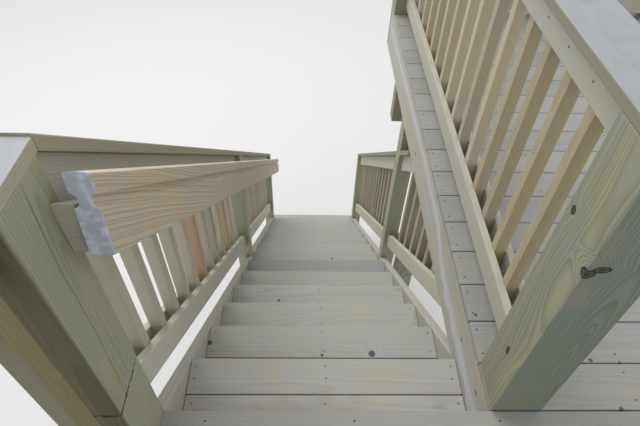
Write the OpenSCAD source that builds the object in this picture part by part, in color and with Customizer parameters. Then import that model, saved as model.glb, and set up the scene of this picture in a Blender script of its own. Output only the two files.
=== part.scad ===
// Timber deck stairs: an open-riser flight with notched stringers, dropping
// from a framed deck with a wing along its right side, and railed all round.
// X runs to the right, Y away down the flight and Z up from the ground.

/* [Flight] */
// Clear width between the two skirt boards
flight_w = 914.4; // [760:0.1:1500]
// Number of risers from the ground to the deck
risers = 15; // [13:1:17]
// Height of one step
rise = 215.9; // [190:0.1:230]
// Depth from one nosing to the next
run = 254; // [240:0.1:275]
// Gap between the two boards of a tread
tread_gap = 4; // [2:0.1:8]
// Gap at each end of a tread
tread_end_gap = 2.2; // [1:0.1:6]
// Width of the top tread's front board
first_front_w = 126; // [110:1:140]
// Height of the skirts' tops above the nosings, negative for below
skirt_h = -10; // [-25:1:10]

/* [Timber] */
// Thickness of framing lumber
lumber_t = 38.1; // [35:0.1:45]
// Thickness of a rail board
rail_t = 25.4; // [22:0.1:32]
// Width of a rail board, on edge
rail_w = 88.9; // [80:0.1:100]
// Width of a deck board, a tread board and a cap
board_w = 139.7; // [130:0.1:145]
// Thickness of a deck board, a tread board and a cap
board_t = 25.4; // [22:0.1:32]
// Gap between two deck boards
board_gap = 3.4; // [2:0.1:6]
// Depth of joists, rims and beams
joist_w = 235; // [184:0.1:240]
// Width of the stringer stock
stringer_w = 285.75; // [280:0.05:300]
// Side of a square guard post on the flight
stair_post = 88.9; // [88:0.1:100]
// Side of a heavy square post
heavy_post = 139.7; // [130:0.1:150]
// Side of a baluster
baluster = 38.1; // [30:0.1:40]

/* [Deck] */
// Boards in the landing, from its front edge back
landing_boards_n = 8; // [7:1:11]
// Boards in the wing, from the landing out
wing_boards_n = 18; // [16:1:20]
// Joist bays across the wing
wing_bays = 4; // [3:1:5]
// Spacing of the joists, centre to centre
joist_pitch = 406.4; // [380:0.1:420]
// How far the deck's front board hangs over its rim
deck_overhang = 16.4; // [5:0.1:25]
// Centre of the wing's beam, measured from the front edge
wing_beam_y = 2060; // [1950:1:2100]
// Centre of the front beam, behind the front edge
front_beam_y = 350; // [300:1:400]
// Distance of the back beam's centre from the back edge
back_beam_in = 146; // [120:1:170]
// Distance of the wing's inner support post from the wing's edge
wing_post_in = 238; // [200:1:300]

/* [Guards] */
// Height of the deck's guard posts
guard_h = 914.4; // [900:0.1:1000]
// Gap between the deck and the guard's bottom rail
deck_rail_gap = 45; // [35:1:90]
// Depth of the deck guards' top rails
deck_rail_w = 115; // [85:0.1:140]
// Distance between the deck's balusters, one to the next
deck_baluster_pitch = 143; // [110:1:150]
// Distance of the first deck baluster from its post
deck_baluster_first = 41; // [20:1:60]
// Height of the flight's cap above the nosings, to its underside
cap_h = 914; // [900:1:1000]
// Height of the bottom rail above the nosings
bottom_h = 102; // [85:1:160]
// How much higher the flight's right guard stands than its left one
right_lift = 18; // [0:1:40]
// Distance between the upper balusters on the left of the flight
left_pitch = 127; // [110:0.5:160]
// Distance between the upper balusters on the right of the flight
right_pitch = 129.5; // [110:0.5:160]
// Distance of the last upper right baluster from the middle post
right_last = 163; // [60:1:180]
// Distance between the lower balusters on both sides
low_pitch = 113.3; // [100:0.1:150]
// Near face of the middle post, from the front edge
mid_post_y = 1650; // [1600:1:1700]
// Near face of the end post, from the front edge
end_post_y = 3400; // [2900:1:3450]
// How far the newel stands past the front edge
newel_out = 5; // [0:1:20]
// Height of the newel's splice above the deck
splice_h = 307; // [200:1:400]
// How far the deck's cap hangs over the newel
cap_over = 10; // [0:1:20]
// How far balusters run past the bottom rail and short of the deck boards
baluster_over = 16; // [5:1:25]

/* [Handrail] */
// Height of the handrail's underside above the nosings
handrail_h = 694; // [650:1:720]
// Depth of the handrail stock
handrail_w = 139.7; // [130:0.1:150]
// Radius of the handrail's two top corners
handrail_r = 6; // [3:0.5:15]
// Radius of the crown across the handrail's top
crown_r = 60; // [40:1:200]
// Depth of the finger groove in each face
groove_d = 11; // [4:0.5:13]
// Radius of the finger groove
groove_r = 12; // [10:0.5:16]
// Distance of the groove's centre below the top
groove_down = 46; // [40:1:55]
// How far the handrail runs back past the newel's face
handrail_back = 45; // [10:1:100]
// The same for the board behind it
backer_back = 27; // [10:1:100]
// How far both run past the end post
handrail_over = 30; // [0:1:60]
// Lean of the handrail's end cuts, from plumb
handrail_cut = 8; // [0:0.5:20]

/* [Hidden] */

// Heights below are measured from the deck's surface, and Y from its front edge.
treads_n = risers - 1;
deck_h = risers * rise;
half_w = flight_w / 2;
slope = atan(rise / run);
plumb = 1 / cos(slope);
tread_d = 2 * board_w + tread_gap;
board_pitch = board_w + board_gap;

// Faces of the framing
rim_y = -deck_overhang;
rim_low = -board_t - joist_w;
nose_y = rim_y + tread_d;
last_nose_y = nose_y + (treads_n - 1) * run;
landing_y = board_gap - landing_boards_n * board_pitch;
wing_y = wing_boards_n * board_pitch;
deck_left = -half_w - heavy_post;
deck_right = half_w + wing_bays * joist_pitch + lumber_t;

// Lines that follow the flight: h is a height straight above the nosing line
function line(y, h) = h - rise - (y - nose_y) * rise / run;
function line_y(z, h) = nose_y + (h - rise - z) * run / rise;
function band(y0, y1, h) = [
    [y0, line(y0, h[0])], [y1, line(y1, h[0])], [y1, line(y1, h[1])], [y0, line(y0, h[1])]];
// The same, cut level at its top under a floor at height z
function band_under(z, y1, h) = [
    [line_y(z, h[0]), z], [y1, line(y1, h[0])], [y1, line(y1, h[1])], [line_y(z, h[1]), z]];

// Places of the boards across the flight, from its centre out
skirt_x = half_w;
lap_x = half_w + lumber_t;
baluster_x = half_w + stair_post - baluster;
rail_x = baluster_x - rail_t;
lap_rail_x = baluster_x + baluster;
cap_x = half_w;
backer_x = half_w - lumber_t;
hand_x = backer_x - lumber_t;

// Heights of the boards of the guards above the nosing line, on one side
function lift(side) = side > 0 ? right_lift : 0;
function bottom_band(side) = [for (h = [0, rail_w * plumb]) bottom_h + lift(side) + h];
function top_band(side) = [for (h = [-rail_w * plumb, 0]) cap_h + lift(side) + h];
function cap_band(side) = [for (h = [0, board_t * plumb]) cap_h + lift(side) + h];

newel_y0 = newel_out - heavy_post;
mid_y1 = mid_post_y + stair_post;
end_y1 = end_post_y + stair_post;
right_cap_y = line_y(rim_low, cap_band(1)[1]);
hand_y0 = newel_out - handrail_back;
hand_y1 = end_y1 + handrail_over;
rail_in = (heavy_post + lumber_t) / 2;
guard_x = half_w + rail_in;
far_y = wing_y - rail_in;
left_x = deck_left + rail_in;
guard_cap_top = guard_h + board_t;

mid_x = (deck_left + deck_right) / 2;
mid_y = (landing_y + last_nose_y) / 2;

module place() {
    translate([-mid_x, -mid_y, deck_h]) children();
}

// A profile drawn in Y and Z, given a thickness w from x on
module slab(x, w) {
    translate([x, 0, 0]) rotate([90, 0, 90]) linear_extrude(w) children();
}

// The same on one side of the flight: -1 is the left and 1 the right
module side_slab(side, x, w) {
    slab(side > 0 ? x : -x - w, w) children();
}

module box(x, y, z) {
    translate([x[0], y[0], z[0]]) cube([x[1] - x[0], y[1] - y[0], z[1] - z[0]]);
}

// A tread of two boards, set back from its nosing
module tread(n) {
    nose = nose_y + (n - 1) * run;
    split = nose - (n == 1 ? first_front_w : board_w);
    color("#a5a095") place()
        for (y = [[split - tread_gap - board_w, split - tread_gap], [split, nose]])
            box([-half_w + tread_end_gap, half_w - tread_end_gap], y,
                [-n * rise - board_t, -n * rise]);
}

// Notched board: seats under the treads, a plumb head and a level foot
module stringer_profile() {
    low_z = -rise - board_t - stringer_w * plumb;
    foot_y = rim_y + run + (deck_h + low_z) * run / rise;
    polygon(concat(
        [[rim_y, -rise - board_t]],
        [for (n = [1 : treads_n]) each [
            [rim_y + n * run, -n * rise - board_t],
            [rim_y + n * run, n < treads_n ? -(n + 1) * rise - board_t : -deck_h]]],
        [[foot_y, -deck_h], [rim_y, low_z + rise]]));
}

module stringers() {
    color("#98937f") place()
        for (x = [-half_w, -lumber_t / 2, half_w - lumber_t])
            slab(x, lumber_t) stringer_profile();
}

module skirts() {
    deep = -stringer_w * plumb;
    foot_y = line_y(-deck_h, deep);
    color("#9a9a9c") place() {
        side_slab(-1, skirt_x, lumber_t) polygon([
            [newel_out, line(newel_out, skirt_h)], [last_nose_y, line(last_nose_y, skirt_h)],
            [last_nose_y, -deck_h], [foot_y, -deck_h], [newel_out, line(newel_out, deep)]]);
        side_slab(1, skirt_x, lumber_t) polygon([
            [rim_y, rim_low], [line_y(rim_low, skirt_h), rim_low],
            [last_nose_y, line(last_nose_y, skirt_h)], [last_nose_y, -deck_h],
            [foot_y, -deck_h], [rim_y, line(rim_y, deep)]]);
    }
}

module newel_upper() {
    color("#84876c") place()
        box([-half_w - heavy_post, -half_w], [newel_y0, newel_out], [splice_h, guard_h]);
}

module newel_lower() {
    color("#84876c") place()
        box([-half_w - heavy_post, -half_w], [newel_y0, newel_out], [-deck_h, splice_h]);
}

module deck_guard_posts() {
    color("#84876c") place()
        for (p = [[half_w, 0], [half_w, wing_y - heavy_post],
                  [deck_right - heavy_post, wing_y - heavy_post], [deck_left, landing_y]])
            box([p[0], p[0] + heavy_post], [p[1], p[1] + heavy_post], [0, guard_h]);
}

// A post notched over the skirt: whole above it, lapping its outside below
module notched_post(side, y, top, foot) {
    side_slab(side, skirt_x, lumber_t) polygon([
        [y, line(y, skirt_h)], [y + stair_post, line(y + stair_post, skirt_h)],
        [y + stair_post, top[1]], [y, top[0]]]);
    side_slab(side, lap_x, stair_post - lumber_t) polygon([
        [y, foot[0]], [y + stair_post, foot[1]], [y + stair_post, top[1]], [y, top[0]]]);
}

module stair_posts() {
    mid_foot = [line(mid_post_y, -stringer_w * plumb), line(mid_y1, -stringer_w * plumb)];
    color("#8f8f78") place() {
        notched_post(-1, mid_post_y, [line(mid_post_y, cap_h), line(mid_y1, cap_h)], mid_foot);
        notched_post(1, mid_post_y, [rim_low, rim_low], mid_foot);
        for (side = [-1, 1])
            let (h = cap_h + lift(side))
                notched_post(side, end_post_y, [line(end_post_y, h), line(end_y1, h)],
                             [-deck_h, -deck_h]);
    }
}

// Two rails hold the balusters between them. The inner one is cut to the posts, and
// the outer one laps them.
module stair_bottom_rails() {
    color("#a9a188") place() {
        side_slab(-1, rail_x, rail_t)
            polygon(band(newel_out, mid_post_y, bottom_band(-1)));
        side_slab(1, rail_x, rail_t)
            polygon(band_under(rim_low, mid_post_y, bottom_band(1)));
        for (side = [-1, 1])
            side_slab(side, rail_x, rail_t)
                polygon(band(mid_y1, end_post_y, bottom_band(side)));
        side_slab(-1, lap_rail_x, rail_t)
            polygon(band(newel_out, end_y1, bottom_band(-1)));
        side_slab(1, lap_rail_x, rail_t)
            polygon(band_under(rim_low, end_y1, bottom_band(1)));
    }
}

// The rails close under the caps
module stair_top_rails() {
    color("#a9a188") place() {
        side_slab(-1, rail_x, rail_t)
            polygon(band(newel_out, mid_post_y, top_band(-1)));
        side_slab(1, rail_x, rail_t)
            polygon(band_under(rim_low, mid_post_y, top_band(1)));
        for (side = [-1, 1])
            side_slab(side, rail_x, rail_t)
                polygon(band(mid_y1, end_post_y, top_band(side)));
        side_slab(-1, lap_rail_x, rail_t)
            polygon(band(newel_out, end_y1, top_band(-1)));
        side_slab(1, lap_rail_x, rail_t)
            polygon(band_under(rim_low, end_y1, top_band(1)));
    }
}

module stair_caps() {
    color("#c9c6bd") place() {
        side_slab(-1, cap_x, board_w)
            polygon(band(newel_out + cap_over, end_y1 + cap_over, cap_band(-1)));
        side_slab(1, cap_x, board_w)
            polygon(band(right_cap_y, mid_post_y, cap_band(1)));
        side_slab(1, cap_x, board_w)
            polygon(band(mid_y1, end_y1 + cap_over, cap_band(1)));
    }
}

module stair_baluster(side, y, ceiling = deck_h) {
    y1 = y + baluster;
    lo = bottom_band(side)[0] - baluster_over;
    hi = top_band(side)[1];
    side_slab(side, baluster_x, baluster) polygon([
        [y, line(y, lo)], [y1, line(y1, lo)],
        [y1, min(ceiling, line(y1, hi))], [y, min(ceiling, line(y, hi))]]);
}

// The lower bay's balusters, counted up from the end post
module low_balusters(side, ceiling = deck_h) {
    for (k = [0 : fits(mid_y1, end_post_y, low_pitch - baluster, low_pitch)])
        stair_baluster(side, end_post_y - low_pitch - k * low_pitch, ceiling);
}

// How many fit from one face to the other, with the first at a distance
function fits(from, to, first, pitch) = floor((to - from - first - baluster) / pitch);

module stair_balusters_left() {
    first = left_pitch - baluster;
    color("#a08c6a") place() {
        for (k = [0 : fits(newel_out, mid_post_y, first, left_pitch)])
            stair_baluster(-1, mid_post_y - left_pitch - k * left_pitch);
        low_balusters(-1);
    }
}

// Where the right bottom rail comes out from under the wing
strip_y = line_y(rim_low, bottom_band(1)[1]);

module stair_balusters_right() {
    ceiling = -board_t - baluster_over;
    color("#a08c6a") place() {
        for (k = [0 : fits(strip_y, mid_post_y, right_last, right_pitch)])
            stair_baluster(1, mid_post_y - right_last - baluster - k * right_pitch, ceiling);
        low_balusters(1, ceiling);
    }
}

// A strip along the wing's side that brings the balusters out to their plane
module baluster_strip() {
    color("#98917a") place()
        box([lap_x, baluster_x], [strip_y, mid_y1], [rim_low, rim_low + rail_w]);
}

// Section of the handrail: crowned head over a finger groove on both faces
module handrail_section() {
    difference() {
        intersection() {
            union() {
                square([lumber_t, handrail_w - handrail_r]);
                translate([handrail_r, 0]) square([lumber_t - 2 * handrail_r, handrail_w]);
                for (x = [handrail_r, lumber_t - handrail_r])
                    translate([x, handrail_w - handrail_r]) circle(handrail_r, $fn = 48);
            }
            union() {
                square([lumber_t, handrail_w - crown_r]);
                intersection() {
                    translate([lumber_t / 2, handrail_w - crown_r]) circle(crown_r, $fn = 96);
                    square([lumber_t, handrail_w]);
                }
            }
        }
        for (x = [groove_d - groove_r, lumber_t - groove_d + groove_r])
            translate([x, handrail_w - groove_down]) circle(groove_r, $fn = 48);
    }
}

// A board's end cut at y: everything on the far side of it, which is 1 or -1
module end_cut(y, h, far) {
    big = 4 * handrail_w;
    translate([0, y, line(y, h)]) rotate([-handrail_cut, 0, 0])
        translate([-deck_h, far > 0 ? 0 : -big, -big]) cube([2 * deck_h, big, 2 * big]);
}

// The section swept down the flight and cut near plumb at both ends
module handrail() {
    length = (hand_y1 - hand_y0) * plumb + 2 * handrail_w;
    color("#a8977a") place() difference() {
        translate([-backer_x, hand_y0, line(hand_y0, handrail_h)])
            rotate([-slope, 0, 0]) translate([0, length - handrail_w, 0])
                rotate([90, 0, 0]) linear_extrude(length) handrail_section();
        end_cut(hand_y0, handrail_h, -1);
        end_cut(hand_y1, handrail_h, 1);
    }
}

// The board on the posts' inner faces that carries the handrail
module handrail_backer() {
    color("#a9a188") place()
        side_slab(-1, backer_x, lumber_t)
            polygon(band(newel_out - backer_back, hand_y1, [handrail_h, handrail_h + rail_w * plumb]));
}

module landing_boards() {
    color("#b3aea0") place()
        for (k = [0 : landing_boards_n - 1])
            box([k == 0 ? -half_w : deck_left, deck_right],
                [-k * board_pitch - board_w, -k * board_pitch], [-board_t, 0]);
}

module wing_boards() {
    color("#b3aea0") place()
        for (k = [0 : wing_boards_n - 1])
            box([half_w, deck_right],
                [board_gap + k * board_pitch, (k + 1) * board_pitch], [-board_t, 0]);
}

// Boards along X: the landing's front and back rims and the wing's far rim
module rim_joists() {
    z = [rim_low, -board_t];
    color("#98917a") place() {
        box([-half_w, deck_right], [rim_y - lumber_t, rim_y], z);
        box([deck_left, deck_right], [landing_y, landing_y + lumber_t], z);
        box([half_w, deck_right], [wing_y - lumber_t, wing_y], z);
    }
}

module joists() {
    z = [rim_low, -board_t];
    back_y = landing_y + lumber_t;
    color("#98917a") place() {
        box([deck_left, deck_left + lumber_t], [back_y, newel_y0], z);
        for (k = [-floor((flight_w - lumber_t) / joist_pitch) : wing_bays])
            box([half_w + k * joist_pitch, half_w + k * joist_pitch + lumber_t],
                [back_y, rim_y - lumber_t], z);
        for (k = [1 : wing_bays])
            box([half_w + k * joist_pitch, half_w + k * joist_pitch + lumber_t],
                [rim_y, wing_y - lumber_t], z);
    }
}

module wing_side_joist() {
    color("#aaa68f") place()
        box([half_w, lap_x], [rim_y, wing_y - lumber_t], [rim_low, -board_t]);
}

beam_low = rim_low - joist_w;
back_beam_y = landing_y + back_beam_in;
// The middle support of the landing's beams
middle_post_x = (deck_left + deck_right - heavy_post) / 2;
far_post_x = deck_right - heavy_post;

// Each beam is two boards nailed together
module beams() {
    color("#98917a") place() {
        for (y = [-front_beam_y, back_beam_y])
            box([deck_left, deck_right], [y - lumber_t, y + lumber_t], [beam_low, rim_low]);
        box([half_w, deck_right], [wing_beam_y - lumber_t, wing_beam_y + lumber_t],
            [beam_low, rim_low]);
    }
}

module support_post(x, y) {
    box([x, x + heavy_post], [y - heavy_post / 2, y + heavy_post / 2], [-deck_h, beam_low]);
}

module support_posts() {
    color("#84876c") place() {
        for (y = [-front_beam_y, back_beam_y])
            for (x = [deck_left, middle_post_x, far_post_x])
                support_post(x, y);
        for (x = [half_w + wing_post_in, far_post_x])
            support_post(x, wing_beam_y);
    }
}

// A board dropped below the rim, which the stringers' heads bear on
module stair_header() {
    color("#98917a") place()
        box([-half_w, lap_x], [rim_y - lumber_t, rim_y], [beam_low, rim_low]);
}

// Upright cleats behind it, which tie it to the rim
module header_cleats() {
    color("#98917a") place()
        for (x = [-half_w / 2, half_w / 2])
            box([x, x + lumber_t], [rim_y - lumber_t - rail_w, rim_y - lumber_t],
                [beam_low, -board_t]);
}

// Rails of the deck's guards, between the posts and on both sides of the balusters
module deck_rails() {
    top_z = [guard_h - deck_rail_w, guard_h];
    bottom_z = [deck_rail_gap, deck_rail_gap + rail_w];
    color("#a9a188") place()
        for (z = [bottom_z, top_z]) {
            for (x = [guard_x - rail_t, guard_x + baluster])
                box([x, x + rail_t], [heavy_post, wing_y - heavy_post], z);
            for (y = [far_y, far_y - baluster - rail_t])
                box([half_w + heavy_post, deck_right - heavy_post], [y, y + rail_t], z);
            for (x = [left_x - rail_t, left_x + baluster])
                box([x, x + rail_t], [landing_y + heavy_post, newel_y0], z);
        }
}

module deck_cap_wing() {
    color("#c9c6bd") place()
        box([half_w, half_w + heavy_post], [0, wing_y], [guard_h, guard_cap_top]);
}

module deck_cap_far() {
    color("#c9c6bd") place()
        box([half_w + heavy_post, deck_right], [wing_y - heavy_post, wing_y],
            [guard_h, guard_cap_top]);
}

module deck_cap_left() {
    color("#c9c6bd") place()
        box([deck_left, -half_w], [landing_y, newel_out + cap_over],
            [guard_h, guard_cap_top]);
}

baluster_z = [deck_rail_gap - baluster_over, guard_h];

module wing_balusters() {
    color("#9d8f5c") place()
        for (k = [0 : fits(heavy_post, wing_y - heavy_post, deck_baluster_first,
                           deck_baluster_pitch)])
            let (y = heavy_post + deck_baluster_first + k * deck_baluster_pitch)
                box([guard_x, guard_x + baluster], [y, y + baluster], baluster_z);
}

module far_balusters() {
    color("#9d8f5c") place()
        for (k = [0 : fits(half_w + heavy_post, deck_right - heavy_post, deck_baluster_first,
                           deck_baluster_pitch)])
            let (x = half_w + heavy_post + deck_baluster_first + k * deck_baluster_pitch)
                box([x, x + baluster], [far_y - baluster, far_y], baluster_z);
}

module left_balusters() {
    color("#9d8f5c") place()
        for (k = [0 : fits(landing_y + heavy_post, newel_y0, deck_baluster_first,
                           deck_baluster_pitch)])
            let (y = newel_y0 - deck_baluster_first - k * deck_baluster_pitch)
                box([left_x, left_x + baluster], [y - baluster, y], baluster_z);
}

tread(1);  // tread_01
tread(2);  // tread_02
tread(3);  // tread_03
tread(4);  // tread_04
tread(5);  // tread_05
tread(6);  // tread_06
tread(7);  // tread_07
tread(8);  // tread_08
tread(9);  // tread_09
tread(10);  // tread_10
tread(11);  // tread_11
tread(12);  // tread_12
tread(13);  // tread_13
tread(14);  // tread_14
stringers();
skirts();
newel_upper();
newel_lower();
deck_guard_posts();
stair_posts();
stair_bottom_rails();
stair_top_rails();
stair_caps();
baluster_strip();
stair_balusters_left();
stair_balusters_right();
handrail();
handrail_backer();
landing_boards();
wing_boards();
rim_joists();
joists();
wing_side_joist();
beams();
support_posts();
stair_header();
header_cleats();
deck_rails();
deck_cap_wing();
deck_cap_far();
deck_cap_left();
wing_balusters();
far_balusters();
left_balusters();
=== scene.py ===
from math import atan, cos, pi, radians, sin

import bpy
from bpy.props import FloatProperty, FloatVectorProperty, PointerProperty
from mathutils import Matrix, Vector


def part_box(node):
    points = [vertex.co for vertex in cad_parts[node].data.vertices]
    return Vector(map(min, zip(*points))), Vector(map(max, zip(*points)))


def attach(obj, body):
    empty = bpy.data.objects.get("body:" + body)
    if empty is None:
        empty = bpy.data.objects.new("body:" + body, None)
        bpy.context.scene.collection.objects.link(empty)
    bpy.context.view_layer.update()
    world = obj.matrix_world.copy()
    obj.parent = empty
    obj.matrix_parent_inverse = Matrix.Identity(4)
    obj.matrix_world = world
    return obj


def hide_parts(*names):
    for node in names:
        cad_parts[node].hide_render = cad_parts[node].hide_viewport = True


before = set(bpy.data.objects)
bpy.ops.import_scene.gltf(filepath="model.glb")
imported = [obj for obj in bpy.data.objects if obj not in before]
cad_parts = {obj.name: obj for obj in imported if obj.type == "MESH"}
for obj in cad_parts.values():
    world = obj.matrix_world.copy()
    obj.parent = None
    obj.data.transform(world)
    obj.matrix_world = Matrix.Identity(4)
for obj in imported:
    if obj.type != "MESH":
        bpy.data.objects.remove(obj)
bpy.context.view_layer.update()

bl_info = {
    "name": "Deck stairs",
    "version": (1, 0, 0),
    "blender": (4, 5, 0),
    "location": "View3D > Sidebar > Deck stairs",
    "description": "Timber finishes, fixings and a plain stage for a flight of deck stairs",
    "category": "Object",
}

# Where the deck's front edge, its surface and the flight's centre line lie in the frame
TREAD_LOW, TREAD_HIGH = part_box("tread_01")
CENTRE_X = (TREAD_LOW[0] + TREAD_HIGH[0]) / 2
DECK_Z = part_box("landing_boards")[1][2]
FRONT_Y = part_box("landing_boards")[1][1]
RISE = DECK_Z - TREAD_HIGH[2]
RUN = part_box("tread_02")[1][1] - TREAD_HIGH[1]
SLOPE = atan(RISE / RUN)

# Lumber and spacings, in metres, as the solids have them
BOARD_W, BOARD_T, BOARD_GAP = 0.1397, 0.0254, 0.0034
BOARD_PITCH = BOARD_W + BOARD_GAP
LUMBER_T = 0.0381
JOIST_PITCH = 0.4064
SIDE_X = 0.4572 + LUMBER_T / 2            # the lumber beside the flight, from its centre line
DECK_PITCH, LOWER_PITCH = 0.143, 0.1133   # balusters of the deck, and of the lower flight
LEFT_PITCH, RIGHT_PITCH = 0.127, 0.1295   # balusters of the upper flight
LOWER_FIRST = 1.83285                     # the first baluster past the posts half way down
TREADS = range(1, 15)

WIDE = 9                                  # wider than any piece
ONE_BOARD = (WIDE, WIDE, WIDE)            # a cell of the grain for a board by itself
WELD = 0.00005                            # corners closer than this are one
LEAST_ROUGH = 0.67


def place(x, y, z):
    """A point from the flight's centre line, the deck's front edge and the deck's surface."""
    return Vector((CENTRE_X + x, FRONT_Y + y, DECK_Z + z))


# ---- sizes and colours -------------------------------------------------------------------

def colour(name, text, value):
    """A colour that can be set."""
    return FloatVectorProperty(name=name, description=text, default=value, subtype="COLOR",
                               size=3, min=0, max=1)


def length(name, text, value):
    """A length that can be set, in metres."""
    return FloatProperty(name=name, description=text, default=value, min=0,
                         unit="LENGTH", subtype="DISTANCE")


class TimberSettings(bpy.types.PropertyGroup):
    """Colours of the wood, and the sizes of its edges and grain"""
    tread: colour("Treads", "Pale wood of the treads", (0.430, 0.447, 0.430))
    deck: colour("Deck boards", "Pale wood of the deck boards", (0.342, 0.348, 0.337))
    framing: colour("Framing", "Pale wood of joists, rims, beams and stringers", (0.33, 0.31, 0.25))
    skirt: colour("Skirts", "Pale wood of the skirt boards", (0.46, 0.455, 0.43))
    post: colour("Posts", "Green-tinted wood of the posts", (0.325, 0.328, 0.268))
    rail: colour("Rails", "Pale wood of the rails", (0.48, 0.475, 0.425))
    cap: colour("Caps", "Wood of the caps, on their edges", (0.27, 0.262, 0.215))
    cap_top: colour("Cap tops", "Rain-bleached upper faces of the caps", (0.335, 0.36, 0.385))
    deck_baluster: colour("Deck balusters", "Yellow-tan wood of the deck's balusters",
                          (0.475, 0.448, 0.345))
    # The short guard's balusters are deep tan wood drawn about half as bright as the deck's own
    # balusters; that darkness is painted shade
    shaded_baluster: colour("Left balusters", "Deep tan wood of the short guard's balusters",
                            (0.222, 0.196, 0.112))
    stair_baluster: colour("Flight balusters", "Pale wood of the flight's balusters",
                           (0.49, 0.47, 0.405))
    handrail: colour("Handrail", "Orange-tan wood of the handrail", (0.51, 0.458, 0.355))
    knot: colour("Knots", "Brown of the knots", (0.10, 0.08, 0.055))
    check: colour("Checks", "Dark of the drying cracks", (0.022, 0.020, 0.016))
    sealer: colour("End sealer", "Blue-grey paint on the handrail's upper end",
                   (0.455, 0.495, 0.59))
    edge: length("Eased edge", "Width of the eased edges of every board", 0.003)
    relief: length("Grain relief", "Height of the grain on the surface", 0.0004)


class FixingSettings(bpy.types.PropertyGroup):
    """Sizes and colours of the screws"""
    head_radius: length("Head radius", "Radius of a screw's head", 0.0030)
    head_height: length("Head height", "How far a head stands out of its board", 0.0004)
    edge_in: length("Inset", "Distance of a screw from the long edge of its board", 0.028)
    metal: colour("Metal", "Dulled zinc of the screws", (0.15, 0.145, 0.14))
    rust: colour("Rust", "First rust on the screws", (0.06, 0.04, 0.028))


class StageSettings(bpy.types.PropertyGroup):
    """The floor, the light and the camera"""
    floor: colour("Floor", "Plain pale floor", (0.75, 0.75, 0.75))
    sky: FloatProperty(name="Sky", description="Strength of the soft light from all round",
                       default=0.85, min=0)
    lamp: FloatProperty(name="Lamp", description="Strength of the broad lamp overhead",
                        default=560, min=0, unit="POWER")
    lamp_at: FloatVectorProperty(name="Lamp place", description="Place of the broad lamp",
                                 default=(-4.0, 5.0, 11.0), size=3, unit="LENGTH",
                                 subtype="TRANSLATION")
    lamp_size: length("Lamp width", "Width of the broad lamp", 9.0)
    lens: FloatProperty(name="Lens", description="Focal length on a 36 mm wide sensor",
                        default=28.215, min=1, unit="CAMERA")
    camera_at: FloatVectorProperty(name="Camera", description="Place of the camera",
                                   default=(-0.8269, -1.7701, 4.6321), size=3,
                                   unit="LENGTH", subtype="TRANSLATION")
    pitch: FloatProperty(name="Pitch", description="How far the camera looks down",
                         default=0.81508, unit="ROTATION", subtype="ANGLE")
    yaw: FloatProperty(name="Yaw", description="How far the camera looks to the right",
                       default=0.03686, unit="ROTATION", subtype="ANGLE")
    roll: FloatProperty(name="Roll", description="How far the camera leans to the left",
                        default=-0.03751, unit="ROTATION", subtype="ANGLE")


# ---- shader helpers ----------------------------------------------------------------------

def put(tree, kind, values=None, **settings):
    """A new node with its settings, and its inputs set or linked by name or number."""
    node = tree.nodes.new(kind)
    for name, value in settings.items():
        setattr(node, name, value)
    for key, value in (values or {}).items():
        if isinstance(value, bpy.types.NodeSocket):
            tree.links.new(value, node.inputs[key])
        else:
            node.inputs[key].default_value = value
    return node


def calc(tree, operation, *values):
    """The result of a Math node."""
    return put(tree, "ShaderNodeMath", dict(enumerate(values)), operation=operation).outputs[0]


def vector(tree, operation, *values, **named):
    """The result of a Vector Math node."""
    node = put(tree, "ShaderNodeVectorMath", dict(enumerate(values)), operation=operation)
    for name, value in named.items():
        node.inputs[name].default_value = value
    return node.outputs["Value" if operation in ("LENGTH", "DOT_PRODUCT") else "Vector"]


def ramp(tree, value, low, high, out_low=0.0, out_high=1.0):
    """Smooth step of a value from one level to another."""
    return put(tree, "ShaderNodeMapRange",
               {"Value": value, "From Min": low, "From Max": high,
                "To Min": out_low, "To Max": out_high},
               interpolation_type="SMOOTHSTEP").outputs["Result"]


def blend(tree, factor, a, b, how="MIX"):
    """The second colour over the first, as far as the factor says."""
    node = put(tree, "ShaderNodeMix", {"Factor": factor}, data_type="RGBA", blend_type=how)
    for socket, value in ((node.inputs[6], a), (node.inputs[7], b)):
        if isinstance(value, bpy.types.NodeSocket):
            tree.links.new(value, socket)
        else:
            socket.default_value = tuple(value) + (1,) * (4 - len(value))
    return node.outputs[2]


def new_group(name, inputs, outputs):
    """A shader node group with named sockets."""
    group = bpy.data.node_groups.new(name, "ShaderNodeTree")
    for label, kind, default in inputs:
        socket = group.interface.new_socket(label, in_out="INPUT", socket_type=kind)
        socket.default_value = default
    for label, kind in outputs:
        group.interface.new_socket(label, in_out="OUTPUT", socket_type=kind)
    return group, group.nodes.new("NodeGroupInput"), group.nodes.new("NodeGroupOutput")


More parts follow.
